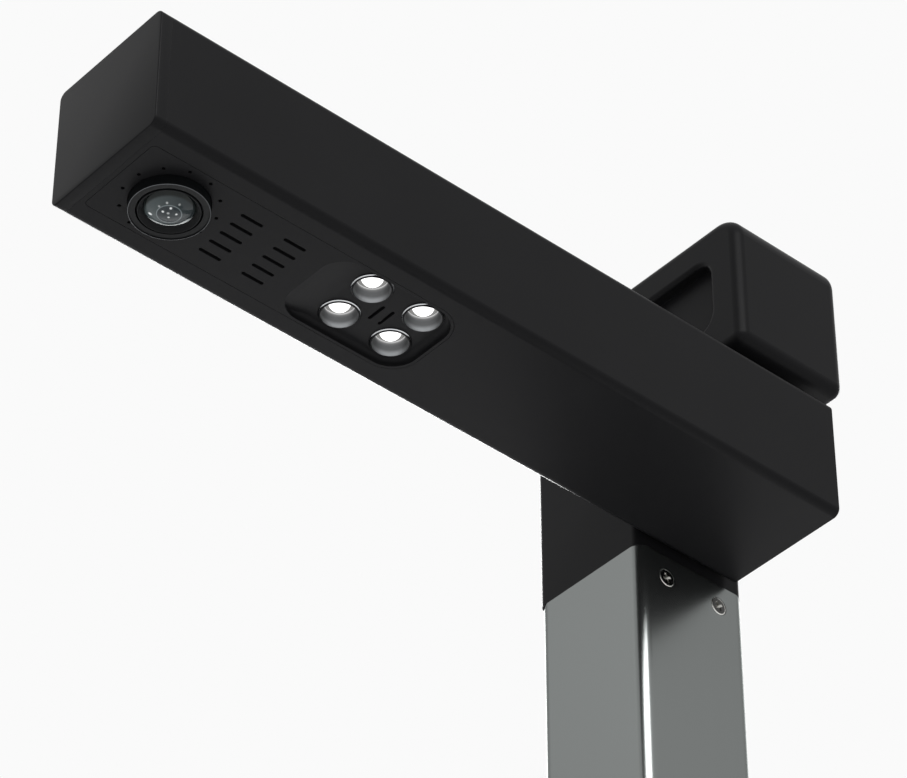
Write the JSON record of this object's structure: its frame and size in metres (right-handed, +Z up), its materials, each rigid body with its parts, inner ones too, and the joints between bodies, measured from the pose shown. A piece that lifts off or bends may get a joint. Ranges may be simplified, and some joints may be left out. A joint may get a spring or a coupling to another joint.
{
  "type": "overhead document scanner",
  "caption": "Overhead document scanner: a square camera arm with lens and lamps underneath folds down beside an aluminium column that stands on a weighted base.",
  "frame": {"origin": "on the desk under the column's axis, at the underside of the rubber sole", "axes": "+Z up, -Y towards the user along the camera arm, +X to the side that the arm hangs on"},
  "size_m": [0.14, 0.3606, 0.5311],
  "materials": {
    "black_abs": "satin moulded black ABS",
    "black_lens": "matt black, blackened inside the lens",
    "rubber_black": "matt black rubber",
    "anodised_aluminium": "satin natural anodised extrusion",
    "plated_steel": "zinc plated",
    "bright_screw": "bright nickel plated",
    "reflector_chrome": "vacuum metallised reflector",
    "circuit_board": "green solder mask on glass epoxy",
    "bearing_bronze": "sintered bronze",
    "optical_glass": "coated optical glass",
    "diode_lens": "clear silicone dome over a warm white diode",
    "sensor_black": "sensor cover glass on a black package",
    "sink_aluminium": "plain extruded fins"
  },
  "bodies": {
    "stand": {"rubber_sole": "rubber_black", "base_plate": "plated_steel", "base_cover": "black_abs", "cover_screws": "plated_steel", "column_screws": "plated_steel", "column_tube": "anodised_aluminium", "spigot_screws": "bright_screw", "head_housing": "black_abs", "head_rear_cover": "black_abs", "rear_cover_screws": "plated_steel", "io_board": "circuit_board", "usb_socket": "plated_steel", "io_board_screws": "plated_steel", "hinge_bracket": "plated_steel", "bracket_screws": "plated_steel", "hinge_bush": "bearing_bronze"},
    "arm": {"arm_shell": "black_abs", "arm_front_cap": "black_abs", "arm_rear_plug": "black_abs", "underside_panel": "black_abs", "lamp_reflectors": "reflector_chrome", "lamp_leds": "diode_lens", "lamp_board": "circuit_board", "lamp_board_screws": "plated_steel", "lens_barrel": "black_lens", "lens_hood": "black_lens", "front_lens": "optical_glass", "lens_cell": "black_lens", "inner_lens": "optical_glass", "lens_holder": "black_lens", "camera_board": "circuit_board", "image_sensor": "sensor_black", "camera_screws": "plated_steel", "main_board": "circuit_board", "heat_sink": "sink_aluminium", "main_board_screws": "plated_steel", "hinge_shaft": "plated_steel", "shaft_screws": "plated_steel", "stop_washer": "plated_steel", "disc_springs": "plated_steel", "hinge_nut": "plated_steel"}
  },
  "joints": [
    {"name": "arm_fold", "type": "hinge", "parent": "stand", "child": "arm", "pos_m": [0, 0, 0.4278], "axis": [1, 0, 0], "range_deg": [0, 90]}
  ]
}
